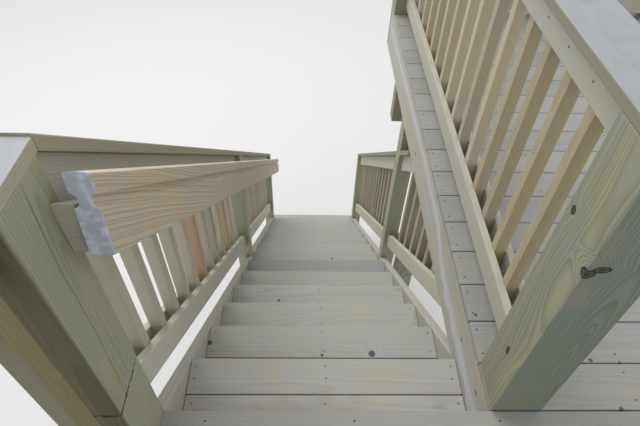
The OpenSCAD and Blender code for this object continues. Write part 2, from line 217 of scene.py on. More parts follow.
def sawn_timber_group():
    """Growth rings cut by a board: every cell of the space is a board with its own heart."""
    group, have, give = new_group(
        "Sawn timber",
        [("Board", "NodeSocketVector", (0, 0, 0)), ("Start", "NodeSocketVector", (0, 0, 0)),
         ("Cell", "NodeSocketVector", ONE_BOARD), ("Seed", "NodeSocketFloat", 0.0),
         ("Ring gap", "NodeSocketFloat", 0.005), ("Heart near", "NodeSocketFloat", 0.04),
         ("Heart spread", "NodeSocketFloat", 0.12), ("Wander", "NodeSocketFloat", 0.014),
         ("Knot share", "NodeSocketFloat", 0.25), ("Bend", "NodeSocketFloat", 0.0)],
        [("Late wood", "NodeSocketFloat"), ("Fibre", "NodeSocketFloat"),
         ("Tone", "NodeSocketFloat"), ("Knot", "NodeSocketFloat"),
         ("Chance", "NodeSocketColor"), ("Height", "NodeSocketFloat")])
    t = group
    cell = have.outputs["Cell"]
    index = vector(t, "FLOOR", vector(t, "DIVIDE", vector(
        t, "SUBTRACT", have.outputs["Board"], have.outputs["Start"]), cell))
    seeds = put(t, "ShaderNodeCombineXYZ", {0: have.outputs["Seed"], 1: have.outputs["Seed"],
                                            2: have.outputs["Seed"]}).outputs[0]
    chance = put(t, "ShaderNodeTexWhiteNoise", {"Vector": vector(t, "ADD", index, seeds)},
                 noise_dimensions="3D").outputs["Color"]
    middle = vector(t, "ADD", have.outputs["Start"], vector(
        t, "MULTIPLY", vector(t, "ADD", index, (0.5, 0.5, 0.5)), cell))
    local = vector(t, "SUBTRACT", have.outputs["Board"], middle)
    shift = vector(t, "MULTIPLY", chance, (40, 7, 5))
    luck = put(t, "ShaderNodeSeparateXYZ", {0: chance})
    spot = put(t, "ShaderNodeSeparateXYZ", {0: local})

    # the board's own stretch of the log
    along = vector(t, "ADD", local, shift)
    drift = put(t, "ShaderNodeTexNoise", {"Vector": vector(t, "MULTIPLY", along, (0.9, 1.6, 1.6)),
                                          "Scale": 1.0, "Detail": 2.0}).outputs["Color"]
    ripple = put(t, "ShaderNodeTexNoise", {"Vector": vector(t, "MULTIPLY", along, (5, 14, 14)),
                                           "Scale": 1.0, "Detail": 2.0}).outputs["Color"]
    drift = vector(t, "SCALE", vector(t, "SUBTRACT", drift, (0.5, 0.5, 0.5)))
    t.links.new(calc(t, "MULTIPLY", have.outputs["Wander"], 4.0), drift.node.inputs["Scale"])
    ripple = vector(t, "SCALE", vector(t, "SUBTRACT", ripple, (0.5, 0.5, 0.5)), Scale=0.004)

    # knots stand across the board, and the rings bend round them
    cells = put(t, "ShaderNodeTexVoronoi",
                {"Vector": vector(t, "MULTIPLY", along, (3.6, 5.5, 5.5)), "Scale": 1.0},
                feature="F1", distance="EUCLIDEAN")
    pick = put(t, "ShaderNodeSeparateXYZ", {0: cells.outputs["Color"]})
    there = calc(t, "LESS_THAN", pick.outputs[0], have.outputs["Knot share"])
    near = calc(t, "MULTIPLY", ramp(t, cells.outputs["Distance"], 0.30, 0.04), there)
    size = calc(t, "ADD", 0.045, calc(t, "MULTIPLY", pick.outputs[1], 0.05))
    knot = calc(t, "MULTIPLY", ramp(t, calc(t, "SUBTRACT", cells.outputs["Distance"], size),
                                    0.012, -0.012), there)

    across = calc(t, "MULTIPLY", calc(t, "SUBTRACT", luck.outputs[0], 0.5),
                  have.outputs["Heart spread"])
    under = calc(t, "ADD", have.outputs["Heart near"], calc(
        t, "MULTIPLY", luck.outputs[1], have.outputs["Heart spread"]))
    lean = calc(t, "MULTIPLY", calc(t, "SUBTRACT", luck.outputs[2], 0.5), 0.05)
    y = calc(t, "SUBTRACT", spot.outputs[1], across)
    z = calc(t, "ADD", calc(t, "ADD", spot.outputs[2], under),
             calc(t, "MULTIPLY", spot.outputs[0], lean))
    flat = put(t, "ShaderNodeCombineXYZ", {1: y, 2: z}).outputs[0]
    flat = vector(t, "MULTIPLY", vector(t, "ADD", vector(t, "ADD", flat, drift), ripple),
                  (0, 1, 1))
    bend = calc(t, "ADD", have.outputs["Bend"], calc(t, "MULTIPLY", near, 0.012))
    radius = calc(t, "ADD", vector(t, "LENGTH", flat), bend)
    years = put(t, "ShaderNodeTexNoise", {"W": calc(t, "MULTIPLY", radius, 60), "Scale": 1.0,
                                          "Detail": 1.0}, noise_dimensions="1D")
    rings = calc(t, "ADD", calc(t, "DIVIDE", radius, have.outputs["Ring gap"]),
                 calc(t, "MULTIPLY", years.outputs["Fac"], 2.2))
    part = calc(t, "FRACT", rings)
    late = calc(t, "SUBTRACT", ramp(t, part, 0.25, 0.9), ramp(t, part, 0.9, 1.0))

    fibre = put(t, "ShaderNodeTexNoise",
                {"Vector": vector(t, "MULTIPLY", along, (9, 330, 330)), "Scale": 1.0,
                 "Detail": 3.0}).outputs["Fac"]
    tone = put(t, "ShaderNodeTexNoise",
               {"Vector": vector(t, "MULTIPLY", along, (1.1, 9, 9)), "Scale": 1.0,
                "Detail": 3.0}).outputs["Fac"]
    height = calc(t, "SUBTRACT", calc(t, "MULTIPLY", late, 0.6),
                  calc(t, "MULTIPLY", fibre, 0.7))
    height = calc(t, "ADD", height, calc(t, "MULTIPLY", knot, -0.6))
    for name, socket in (("Late wood", late), ("Fibre", fibre), ("Tone", tone),
                         ("Knot", knot), ("Chance", chance), ("Height", height)):
        t.links.new(socket, give.inputs[name])
    return group


# How a board's length, laid along X in its pattern, is turned to lie in the frame
ALONG_X = (0, 0, 0)
ALONG_Y = (0, 0, -pi / 2)
ALONG_Z = (0, pi / 2, 0)
DOWN_FLIGHT = (SLOPE, 0, -pi / 2)


def board_space(point, turn):
    """A point of the frame in a board's own directions, as its Mapping node turns it."""
    spin = (Matrix.Rotation(turn[2], 3, "Z") @ Matrix.Rotation(turn[1], 3, "Y")
            @ Matrix.Rotation(turn[0], 3, "X"))
    return spin @ Vector(point)


class Timber:
    """A timber material: built once for a family of boards, and open to extra marks."""

    def __init__(self, name, pale, turn=ALONG_X, middle=None, cell=ONE_BOARD, seed=0.0,
                 ring=0.0052, contrast=0.34, vary=0.16, warm=0.3, near=0.03, spread=0.16,
                 wander=0.014, knots=0.16, green=0.0, deep=(0.62, 0.54, 0.42),
                 cross=None, bays=None):
        settings = bpy.context.scene.timber
        self.material = bpy.data.materials.new(name)
        self.material.use_nodes = True
        t = self.tree = self.material.node_tree
        self.shader = t.nodes["Principled BSDF"]
        self.position = put(t, "ShaderNodeTexCoord").outputs["Object"]
        where = self.two_bays(*bays) if bays else self.position
        turned = put(t, "ShaderNodeMapping", {"Vector": where, "Rotation": turn},
                     vector_type="POINT").outputs[0]
        size = Vector(cell)
        centre = board_space(middle or (0, 0, 0), turn)
        if cross:
            turned = self.crossing(turned, centre, *cross)
        grain = put(t, "ShaderNodeGroup", node_tree=bpy.data.node_groups["Sawn timber"])
        t.links.new(turned, grain.inputs["Board"])
        grain.inputs["Start"].default_value = centre - size / 2
        grain.inputs["Cell"].default_value = size
        for label, value in (("Seed", seed), ("Ring gap", ring), ("Heart near", near),
                             ("Heart spread", spread), ("Wander", wander),
                             ("Knot share", knots)):
            grain.inputs[label].default_value = value
        self.grain = grain
        self.bend = None
        out = grain.outputs
        luck = put(t, "ShaderNodeSeparateXYZ", {0: out["Chance"]})

        pale = Vector(pale)
        dark = Vector([p * d for p, d in zip(pale, deep)])
        amber = Vector((pale[0] * 1.03, pale[1] * 0.90, pale[2] * 0.70))
        base = blend(t, calc(t, "MULTIPLY", luck.outputs[1], warm), pale, amber)
        base = blend(t, calc(t, "MULTIPLY", out["Late wood"], contrast), base, dark)
        if green:
            moss = (pale[0] * 0.80, pale[1] * 0.93, pale[2] * 0.76)
            base = blend(t, calc(t, "MULTIPLY", out["Tone"], green), base, moss)
        level = calc(t, "ADD", 1 - vary / 2 - 0.09, calc(t, "MULTIPLY", luck.outputs[0], vary))
        level = calc(t, "ADD", level, calc(t, "MULTIPLY", out["Tone"], 0.14))
        level = calc(t, "ADD", level, calc(t, "MULTIPLY", out["Fibre"], 0.06))
        base = vector(t, "SCALE", base)
        t.links.new(level, base.node.inputs["Scale"])
        patch = self.noise(8, 3.0)
        for start, tint in ((0.01, (1.045, 1.00, 0.89)), (-0.01, (0.96, 1.0, 1.09))):
            base = blend(t, ramp(t, patch, start, start * 22), base, tint, "MULTIPLY")
        base = blend(t, calc(t, "MULTIPLY", out["Knot"], 0.85), base, settings.knot)
        self.base = base
        self.height = out["Height"]
        self.rough = calc(t, "ADD", LEAST_ROUGH, calc(t, "MULTIPLY", out["Tone"], 0.12))
        self.relief = settings.relief

    def two_bays(self, level, low, high, near_pitch, far_pitch):
        """Sticks past a level along Y, set at another pitch, are counted on in the first one."""
        t = self.tree
        parts = put(t, "ShaderNodeSeparateXYZ", {0: self.position}).outputs
        ratio = near_pitch / far_pitch
        moved = calc(t, "MULTIPLY_ADD", parts[1], ratio, low + 40 * near_pitch - high * ratio)
        past = calc(t, "GREATER_THAN", parts[1], level)
        y = calc(t, "MULTIPLY_ADD", past, calc(t, "SUBTRACT", moved, parts[1]), parts[1])
        return put(t, "ShaderNodeCombineXYZ", {0: parts[0], 1: y, 2: parts[2]}).outputs[0]

    def crossing(self, turned, centre, level, turn, middle):
        """Boards past a level along Y lie another way, and so does their grain."""
        t = self.tree
        other = put(t, "ShaderNodeMapping",
                    {"Vector": self.position, "Rotation": turn,
                     "Location": centre - board_space(middle, turn)},
                    vector_type="POINT").outputs[0]
        past = calc(t, "GREATER_THAN", self.axis(1), level)
        mixed = put(t, "ShaderNodeMix", {0: past}, data_type="VECTOR")
        t.links.new(turned, mixed.inputs[4])
        t.links.new(other, mixed.inputs[5])
        return mixed.outputs[1]

    def axis(self, number):
        """One coordinate of a point, in the frame."""
        return put(self.tree, "ShaderNodeSeparateXYZ", {0: self.position}).outputs[number]

    def noise(self, scale, detail=2.0):
        """Noise about 0, from -0.5 to 0.5."""
        value = put(self.tree, "ShaderNodeTexNoise",
                    {"Vector": self.position, "Scale": scale, "Detail": detail})
        return calc(self.tree, "SUBTRACT", value.outputs["Fac"], 0.5)

    def mark(self, mask, tint, depth=0.0):
        """Lay a colour over the wood where the mask is 1, and sink it by the depth."""
        self.base = blend(self.tree, mask, self.base, tint)
        if depth:
            self.height = calc(self.tree, "SUBTRACT", self.height,
                               calc(self.tree, "MULTIPLY", mask, depth))

    def bleach(self, tint, strength, way=2, sign=1):
        """Another colour on the faces that look one way, where rain and sun get at them."""
        t = self.tree
        normal = put(t, "ShaderNodeNewGeometry").outputs["Normal"]
        face = put(t, "ShaderNodeSeparateXYZ", {0: normal})
        mask = ramp(t, face.outputs[way], 0.4 * sign, 0.95 * sign)
        mask = calc(t, "MULTIPLY", mask, strength)
        grain = calc(t, "SUBTRACT", 1.0, calc(t, "MULTIPLY", self.grain.outputs["Late wood"], 0.12))
        blotch = ramp(t, self.noise(14, 4.0), 0.22, -0.06, 0.5, 1.0)
        self.mark(calc(t, "MULTIPLY", calc(t, "MULTIPLY", mask, grain), blotch), tint)

    def reach(self, centre, radii):
        """How far a point lies from a place, in radii of a spot there."""
        t = self.tree
        off = vector(t, "DIVIDE", vector(t, "SUBTRACT", self.position, centre), radii)
        return vector(t, "LENGTH", off)

    def knot(self, centre, radii, strength=0.85, tone=1.0):
        """A knot at a place of its own: the rings swing round it."""
        t = self.tree
        far = self.reach(centre, radii)
        far = calc(t, "ADD", far, calc(t, "MULTIPLY", self.noise(170), 0.35))
        brown = Vector(bpy.context.scene.timber.knot) * tone
        core = calc(t, "MULTIPLY", ramp(t, far, 1.12, 0.85), strength * 0.8)
        rim = calc(t, "MULTIPLY", ramp(t, far, 0.62, 0.92), ramp(t, far, 1.22, 1.0))
        self.mark(core, brown)
        self.mark(calc(t, "MULTIPLY", ramp(t, far, 0.7, 0.1), strength), brown * 0.45)
        self.mark(calc(t, "MULTIPLY", rim, strength), brown * 0.4, 0.8)
        swing = calc(t, "MULTIPLY", ramp(t, far, 5.0, 0.9), 1.1 * min(radii))
        self.bend = swing if self.bend is None else calc(t, "ADD", self.bend, swing)

    def side(self, number, start, stop, tint):
        """A filter over one side, from full at the stop to none at the start."""
        t = self.tree
        origin = place(0, 0, 0)[number]
        where = calc(t, "ADD", self.axis(number), calc(t, "MULTIPLY", self.noise(14, 3.0), 0.004))
        mask = ramp(t, where, origin + start, origin + stop)
        self.base = blend(t, mask, self.base, tint, "MULTIPLY")

    def stain(self, centre, radii, tint, strength):
        """A soft patch of another colour."""
        t = self.tree
        far = calc(t, "ADD", self.reach(centre, radii),
                   calc(t, "MULTIPLY", self.noise(35), 0.9))
        self.mark(calc(t, "MULTIPLY", ramp(t, far, 1.15, 0.4), strength), tint)

    def path(self, along, points):
        """A value that follows points along an axis."""
        t = self.tree
        value = points[0][1]
        for (a, va), (b, vb) in zip(points, points[1:]):
            step = put(t, "ShaderNodeMapRange", {"Value": along, "From Min": a, "From Max": b,
                                                 "To Min": 0.0, "To Max": vb - va})
            value = calc(t, "ADD", value, step.outputs["Result"])
        return value

    def off_path(self, across, along, points):
        """Distance from a line that follows points (along, across) on the stairs."""
        t = self.tree
        origin = place(0, 0, 0)
        moved = [(a + origin[along], b + origin[across]) for a, b in points]
        run = self.axis(along)
        return run, calc(t, "SUBTRACT", self.axis(across), self.path(run, moved)), moved

    def split(self, across, along, points, width, past=None, strength=0.9):
        """A drying crack that follows points, kept to one side of a place if it is given."""
        t = self.tree
        run, off, moved = self.off_path(across, along, points)
        off = calc(t, "ADD", off, calc(t, "MULTIPLY", self.noise(22, 4.0), 0.006))
        mask = ramp(t, calc(t, "ABSOLUTE", off), width, width * 0.35)
        low, high = sorted((moved[0][0], moved[-1][0]))
        for edge, way in ((low, 1), (high, -1)):
            mask = calc(t, "MULTIPLY", mask, ramp(t, run, edge, edge + way * 0.05))
        if past:
            number, level = past
            side = calc(t, "GREATER_THAN", self.axis(number), place(0, 0, 0)[number] + level)
            mask = calc(t, "MULTIPLY", mask, side)
        self.mark(calc(t, "MULTIPLY", mask, strength), bpy.context.scene.timber.check, 3.0)

    def splice(self, level):
        """The dark, uneven line where two lengths of a post meet."""
        t = self.tree
        off = calc(t, "SUBTRACT", self.axis(2), place(0, 0, level)[2])
        off = calc(t, "ADD", off, calc(t, "MULTIPLY", self.noise(60), 0.012))
        thick = ramp(t, self.noise(75), -0.02, 0.16, 0.0026, 0.0095)
        off = calc(t, "DIVIDE", calc(t, "ABSOLUTE", off), thick)
        self.mark(calc(t, "MULTIPLY", ramp(t, off, 1.0, 0.45), 0.9),
                  bpy.context.scene.timber.check, 2.0)

    def streak(self, across, along, points, widths, tint, strength):
        """A soft stripe that follows points and changes its width."""
        t = self.tree
        run, off, moved = self.off_path(across, along, points)
        wide = self.path(run, [(m[0], w) for m, w in zip(moved, widths)])
        off = calc(t, "ADD", off, calc(t, "MULTIPLY", self.noise(9, 3.0), 0.02))
        mask = ramp(t, calc(t, "DIVIDE", calc(t, "ABSOLUTE", off), wide), 1.0, 0.15)
        late = calc(t, "MULTIPLY", self.grain.outputs["Late wood"], 0.75)
        mask = calc(t, "MULTIPLY", mask, calc(t, "SUBTRACT", 1.0, late))
        self.mark(calc(t, "MULTIPLY", mask, strength), tint)

    def done(self):
        """Link what was built up to the shader, and give the material."""
        t = self.tree
        if self.bend is not None:
            t.links.new(self.bend, self.grain.inputs["Bend"])
        t.links.new(self.base, self.shader.inputs["Base Color"])
        t.links.new(self.rough, self.shader.inputs["Roughness"])
        bump = put(t, "ShaderNodeBump", {"Height": self.height, "Distance": self.relief,
                                         "Strength": 1.0})
        t.links.new(bump.outputs[0], self.shader.inputs["Normal"])
        return self.material


def dress(node, material):
    """Give a node of the model its material."""
    data = bpy.data.objects[node].data
    data.materials.clear()
    data.materials.append(material)


# ---- pieces ------------------------------------------------------------------------------

class STAIRS_OT_ease_edges(bpy.types.Operator):
    """Ease the long edges of every board, as milled lumber has them"""
    bl_idname = "stairs.ease_edges"
    bl_label = "Ease the edges"

    def execute(self, context):
        width = context.scene.timber.edge
        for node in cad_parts:
            piece = bpy.data.objects[node]
            weld = piece.modifiers.new("Join corners", "WELD")
            weld.merge_threshold = WELD
            ease = piece.modifiers.new("Eased edges", "BEVEL")
            ease.width = width
            ease.segments = 2
            ease.limit_method = "ANGLE"
            ease.angle_limit = radians(35)
            ease.use_clamp_overlap = True
        return {"FINISHED"}


# Knots of the treads, as the number of the tread, the place across and down, and the size
TREAD_KNOTS = ((2, -0.001, 0.392, 0.005), (2, 0.197, 0.399, 0.011), (2, -0.448, 0.444, 0.008),
               (4, -0.21, 0.93, 0.006), (5, 0.33, 1.15, 0.005), (7, 0.12, 1.72, 0.006),
               (3, -0.30, 0.60, 0.005), (9, -0.25, 2.15, 0.007))
DECK_KNOTS = ((0.483, 0.311, 0.005), (0.831, 0.005, 0.006), (0.799, 0.154, 0.006),
              (0.887, 0.147, 0.004), (0.681, 0.430, 0.005), (1.24, 0.86, 0.007))


class STAIRS_OT_finish_treads(bpy.types.Operator):
    """Give each tread its own pair of boards"""
    bl_idname = "stairs.finish_treads"
    bl_label = "Treads"

    def execute(self, context):
        pale = Vector(context.scene.timber.tread)
        # Treads 1 to 3 have slightly different tones of their own; tread 6 is drawn darker than the
        # rest as painted shade
        tread_tones_and_shade = {1: (1.03, 0.99, 0.98), 2: (1.04, 1.04, 1.02), 3: (1.07, 1.08, 1.08),
                 6: (0.80, 0.81, 0.83)}
        for number in TREADS:
            node = f"tread_{number:02d}"
            low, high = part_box(node)
            tone = tread_tones_and_shade.get(number, (1, 1, 1))
            middle = ((low[0] + high[0]) / 2, low[1] + BOARD_W / 2, (low[2] + high[2]) / 2)
            wood = Timber(f"Tread {number} timber", [p * k for p, k in zip(pale, tone)],
                          middle=middle, cell=(WIDE, 0.1415, WIDE), seed=3.0 * number,
                          contrast=0.20, vary=0.07, warm=0.20, knots=0.06)
            for tread, x, y, size in TREAD_KNOTS:
                if tread == number:
                    wood.knot(place(x, y, -number * RISE), (size, size * 1.15, 0.03), tone=0.5)
            if number == 1:
                wood.stain(place(0.369, 0.099, -RISE), (0.03, 0.012, 0.03),
                           (0.22, 0.29, 0.19), 0.5)
                wood.stain(place(-0.1, 0.07, -RISE), (0.30, 0.06, 0.03),
                           (0.33, 0.29, 0.26), 0.35)
            if number == 3:
                wood.split(0, 1, ((0.757, 0.4535), (0.654, 0.439)), 0.0012)
            dress(node, wood.done())
        return {"FINISHED"}


class STAIRS_OT_finish_deck(bpy.types.Operator):
    """Give the deck boards their grain, one board after the other"""
    bl_idname = "stairs.finish_deck"
    bl_label = "Deck boards"

    def execute(self, context):
        pale = context.scene.timber.deck
        for node, seed in (("landing_boards", 11), ("wing_boards", 23)):
            shade = 0.93 if node == "landing_boards" else 1.0
            wood = Timber(f"{node} timber", Vector(pale) * shade,
                          middle=place(0, (BOARD_PITCH + BOARD_GAP) / 2, -BOARD_T / 2),
                          cell=(WIDE, BOARD_PITCH, WIDE), seed=seed, contrast=0.20,
                          vary=0.13, warm=0.16, knots=0.12)
            if node == "wing_boards":
                for x, y, size in DECK_KNOTS:
                    wood.knot(place(x, y, 0), (size, size, 0.03))
            dress(node, wood.done())
        return {"FINISHED"}


class STAIRS_OT_finish_framing(bpy.types.Operator):
    """Give the joists, rims, beams, stringers and skirts their grain"""
    bl_idname = "stairs.finish_framing"
    bl_label = "Framing"

    def execute(self, context):
        colours = context.scene.timber
        joist = place(SIDE_X, 0, -0.14)
        for node, pale, turn, middle, cell in (
                ("rim_joists", colours.framing, ALONG_X, place(0, -0.035, -0.14),
                 (WIDE, 1.4, WIDE)),
                ("joists", colours.framing, ALONG_Y, joist, (WIDE, JOIST_PITCH, WIDE)),
                ("beams", colours.framing, ALONG_X, place(0, -0.35, -0.37), (WIDE, 0.72, WIDE)),
                ("stair_header", colours.framing, ALONG_X, place(0, -0.035, -0.37), ONE_BOARD),
                ("header_cleats", colours.framing, ALONG_Z, place(-0.21, 0, 0),
                 (WIDE, WIDE, 0.4572)),
                ("baluster_strip", colours.framing, ALONG_Y, joist, ONE_BOARD),
                ("stringers", colours.framing, DOWN_FLIGHT, place(0, 0, 0), (WIDE, 0.4381, WIDE)),
                ("skirts", colours.skirt, DOWN_FLIGHT, place(SIDE_X, 0, 0),
                 (WIDE, 2 * SIDE_X, WIDE))):
            wood = Timber(f"{node} timber", pale, turn, middle, cell, seed=len(node) * 1.7,
                          contrast=0.30, vary=0.18, near=0.05, knots=0.14)
            if node == "skirts":
                wood.bleach((0.62, 0.60, 0.54), 0.9, 0)
            dress(node, wood.done())
        side = Timber("Side joist timber", colours.rail, ALONG_Y, joist, seed=31, ring=0.008,
                      contrast=0.38, vary=0.0, near=0.05, spread=0.05, wander=0.03, knots=0.1)
        side.streak(2, 1, ((2.53, -0.04), (0.8, -0.045), (0.1, -0.05)), (0.02, 0.022, 0.03),
                    (0.44, 0.34, 0.26), 0.45)
        # A pale bluish streak down the side joist's face, a narrow bright core in a wide soft band:
        # painted highlight, the reflection of light on the face
        painted_highlight = ((2.19, -0.104), (1.64, -0.080), (1.15, -0.066), (0.80, -0.077), (0.587, -0.160))
        side.streak(2, 1, painted_highlight, (0.050, 0.055, 0.060, 0.060, 0.06), (0.56, 0.57, 0.61), 0.55)
        side.streak(2, 1, painted_highlight, (0.012, 0.019, 0.024, 0.028, 0.04), (0.66, 0.68, 0.78), 0.75)
        for y, z in ((0.091, -0.091), (0.283, -0.110), (1.32, -0.17)):
            side.knot(place(0.457, y, z), (0.02, 0.008, 0.006))
        dress("wing_side_joist", side.done())
        return {"FINISHED"}


class STAIRS_OT_finish_posts(bpy.types.Operator):
    """Give the posts their strong, green-tinted grain"""
    bl_idname = "stairs.finish_posts"
    bl_label = "Posts"

    def execute(self, context):
        pale = context.scene.timber.post
        newel = place(-0.527, -0.065, 0)
        heavy = place(0.527, 0.07, 0)
        woods = {}
        for node, middle, cell, seed in (
                ("newel_upper", newel, ONE_BOARD, 2), ("newel_lower", newel, ONE_BOARD, 5),
                ("deck_guard_posts", heavy, (WIDE, 1.2, 1.53), 9),
                ("stair_posts", place(0.5017, 1.694, 0), (WIDE, 1.4, 1.0), 14),
                ("support_posts", heavy, ONE_BOARD, 21)):
            shade = {"stair_posts": 1.3, "newel_lower": 1.15}.get(node, 1.0)
            plain = "newel" in node
            woods[node] = Timber(f"{node} timber", Vector(pale) * shade, ALONG_Z, middle, cell,
                                 seed=seed, ring=0.006 if plain else 0.0066,
                                 contrast=0.40 if plain else 0.62, vary=0.10, warm=0.4,
                                 near=0.01, spread=0.08, wander=0.014 if plain else 0.035,
                                 knots=0.06, green=0.45, deep=(0.55, 0.51, 0.38))
        heavy = woods["deck_guard_posts"]
        # The near face of the heavy post is drawn darker and bluer: painted shade
        heavy.side(1, 0.006, 0.0005, (0.66, 0.75, 0.82))
        heavy.streak(1, 2, ((0.0, 0.012), (0.35, 0.020), (0.62, 0.03), (0.90, 0.09)),
                     (0.020, 0.020, 0.024, 0.024), (0.42, 0.38, 0.18), 0.38)
        for x, y, z, radii in ((0.457, 0.118, 0.694, (0.03, 0.008, 0.010)),
                               (0.457, 0.071, 0.219, (0.03, 0.007, 0.015)),
                               (0.460, 0.0, 0.642, (0.016, 0.015, 0.012)),
                               (0.484, 0.0, 0.656, (0.017, 0.015, 0.009))):
            heavy.knot(place(x, y, z), radii, strength=1.0, tone=0.5)
        heavy.stain(place(0.541, 0.0, 0.195), (0.016, 0.03, 0.018), (0.17, 0.20, 0.16), 0.6)
        heavy.stain(place(0.47, 0.0, 0.72), (0.02, 0.02, 0.07), (0.26, 0.21, 0.17), 0.45)
        heavy.stain(place(0.475, 0.0, 0.56), (0.03, 0.02, 0.06), (0.30, 0.24, 0.20), 0.4)
        heavy.stain(place(0.48, 0.0, 0.10), (0.035, 0.02, 0.09), (0.24, 0.22, 0.19), 0.35)
        heavy.stain(place(0.457, 0.03, 0.16), (0.02, 0.03, 0.10), (0.36, 0.33, 0.17), 0.5)
        heavy.split(0, 2, ((0.10, 0.584), (0.19, 0.588)), 0.0016)
        split = ((0.915, -0.053), (0.74, -0.071), (0.555, -0.071), (0.28, -0.091))
        for node in ("newel_upper", "newel_lower"):
            wood = woods[node]
            # The near face of the newel is drawn darker: painted shade
            wood.side(1, -0.125, -0.134, (0.50, 0.44, 0.32))
            for y, z, high in ((-0.03, 0.62, 0.14), (-0.10, 0.42, 0.10), (-0.05, 0.20, 0.12)):
                wood.stain(place(-0.457, y, z), (0.03, 0.025, high), (0.40, 0.35, 0.20), 0.45)
            wood.split(1, 2, split, 0.0020, past=(0, -0.50), strength=0.4)
            wood.splice(0.307)
        for node, wood in woods.items():
            dress(node, wood.done())
        return {"FINISHED"}


class STAIRS_OT_finish_rails(bpy.types.Operator):
    """Give the rails and caps their grain"""
    bl_idname = "stairs.finish_rails"
    bl_label = "Rails and caps"

    def execute(self, context):
        colours = context.scene.timber
        pair = place(0.4953, 0, 0)
        for node, pale, turn, middle, cell in (
                ("stair_bottom_rails", Vector(colours.rail) * 1.2, DOWN_FLIGHT, pair,
                 (WIDE, 0.0619, WIDE)),
                ("stair_top_rails", Vector(colours.rail) * 1.2, DOWN_FLIGHT, pair,
                 (WIDE, 0.0619, WIDE)),
                ("handrail_backer", Vector(colours.rail) * 0.82, DOWN_FLIGHT,
                 place(-0.438, 0, 0), ONE_BOARD),
                ("stair_caps", Vector(colours.cap) * 1.2, DOWN_FLIGHT, place(0.527, 0, 0),
                 (WIDE, 1.054, WIDE)),
                ("deck_cap_wing", colours.cap, ALONG_Y, place(0.527, 0, 0.92), ONE_BOARD),
                ("deck_cap_left", Vector(colours.cap) * 1.5, ALONG_Y, place(-0.527, 0, 0.92),
                 ONE_BOARD),
                ("deck_cap_far", colours.cap, ALONG_X, place(0, 2.5, 0.92), ONE_BOARD)):
            wood = Timber(f"{node} timber", pale, turn, middle, cell, seed=len(node) * 2.3,
                          contrast=0.3, vary=0.1, warm=0.25, near=0.03, knots=0.10)
            if "cap" in node:
                tone = 1.2 if node == "deck_cap_left" else 1.0
                wood.bleach(Vector(colours.cap_top) * tone, 0.92)
            dress(node, wood.done())
        lying = (place(0, 2.43, 0)[1], ALONG_X, place(0, 2.4361, 0.0895))
        wood = Timber("deck_rails timber", colours.rail, ALONG_Y, place(0.5334, 0, 0.0895),
                      (WIDE, 0.0659, 0.767), seed=23, contrast=0.2, vary=0.1, warm=0.25,
                      near=0.03, knots=0.10, cross=lying)
        wood.side(2, 0.70, 0.75, (1.06, 1.08, 1.09))
        # Rails of the left guard, past 0.3 m left of the centre line, are drawn darker: painted
        # shade
        wood.side(0, -0.30, -0.40, (0.80, 0.78, 0.72))
        dress("deck_rails", wood.done())
        return {"FINISHED"}


class STAIRS_OT_single_left_rails(bpy.types.Operator):
    """Leave the short guard on the left with one rail at its top and one at its bottom"""
    bl_idname = "stairs.single_left_rails"
    bl_label = "Left guard's rails"

    def execute(self, context):
        bpy.ops.object.select_all(action="DESELECT")
        bpy.data.objects["deck_rails"].select_set(True)
        context.view_layer.objects.active = bpy.data.objects["deck_rails"]
        bpy.ops.object.duplicate()
        piece = context.object
        piece.name = "guard_rails"
        bpy.ops.object.mode_set(mode="EDIT")
        bpy.ops.mesh.select_all(action="SELECT")
        bpy.ops.mesh.remove_doubles(threshold=WELD)
        bpy.ops.mesh.select_all(action="DESELECT")
        bpy.ops.object.mode_set(mode="OBJECT")
        rail_face = place(-0.4699, 0, 0)[0] - 0.001
        for point in piece.data.vertices:
            point.select = rail_face < point.co.x < CENTRE_X
        bpy.ops.object.mode_set(mode="EDIT")
        bpy.ops.mesh.select_mode(type="VERT")
        bpy.ops.mesh.delete(type="VERT")
        bpy.ops.object.mode_set(mode="OBJECT")
        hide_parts("deck_rails")
        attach(piece, "root")
        return {"FINISHED"}


# Balusters on the left of the flight with a tint of their own: the place along it and the tint
STICKS = ((0.145, (0.50, 0.48, 0.38)), (0.272, (0.44, 0.45, 0.38)), (0.399, (0.46, 0.47, 0.40)),
          (0.526, (0.45, 0.45, 0.38)), (0.780, (0.50, 0.29, 0.15)), (1.288, (0.45, 0.33, 0.18)))

# How a row of balusters runs
ACROSS, ALONG, DOWN_STAIRS = range(3)


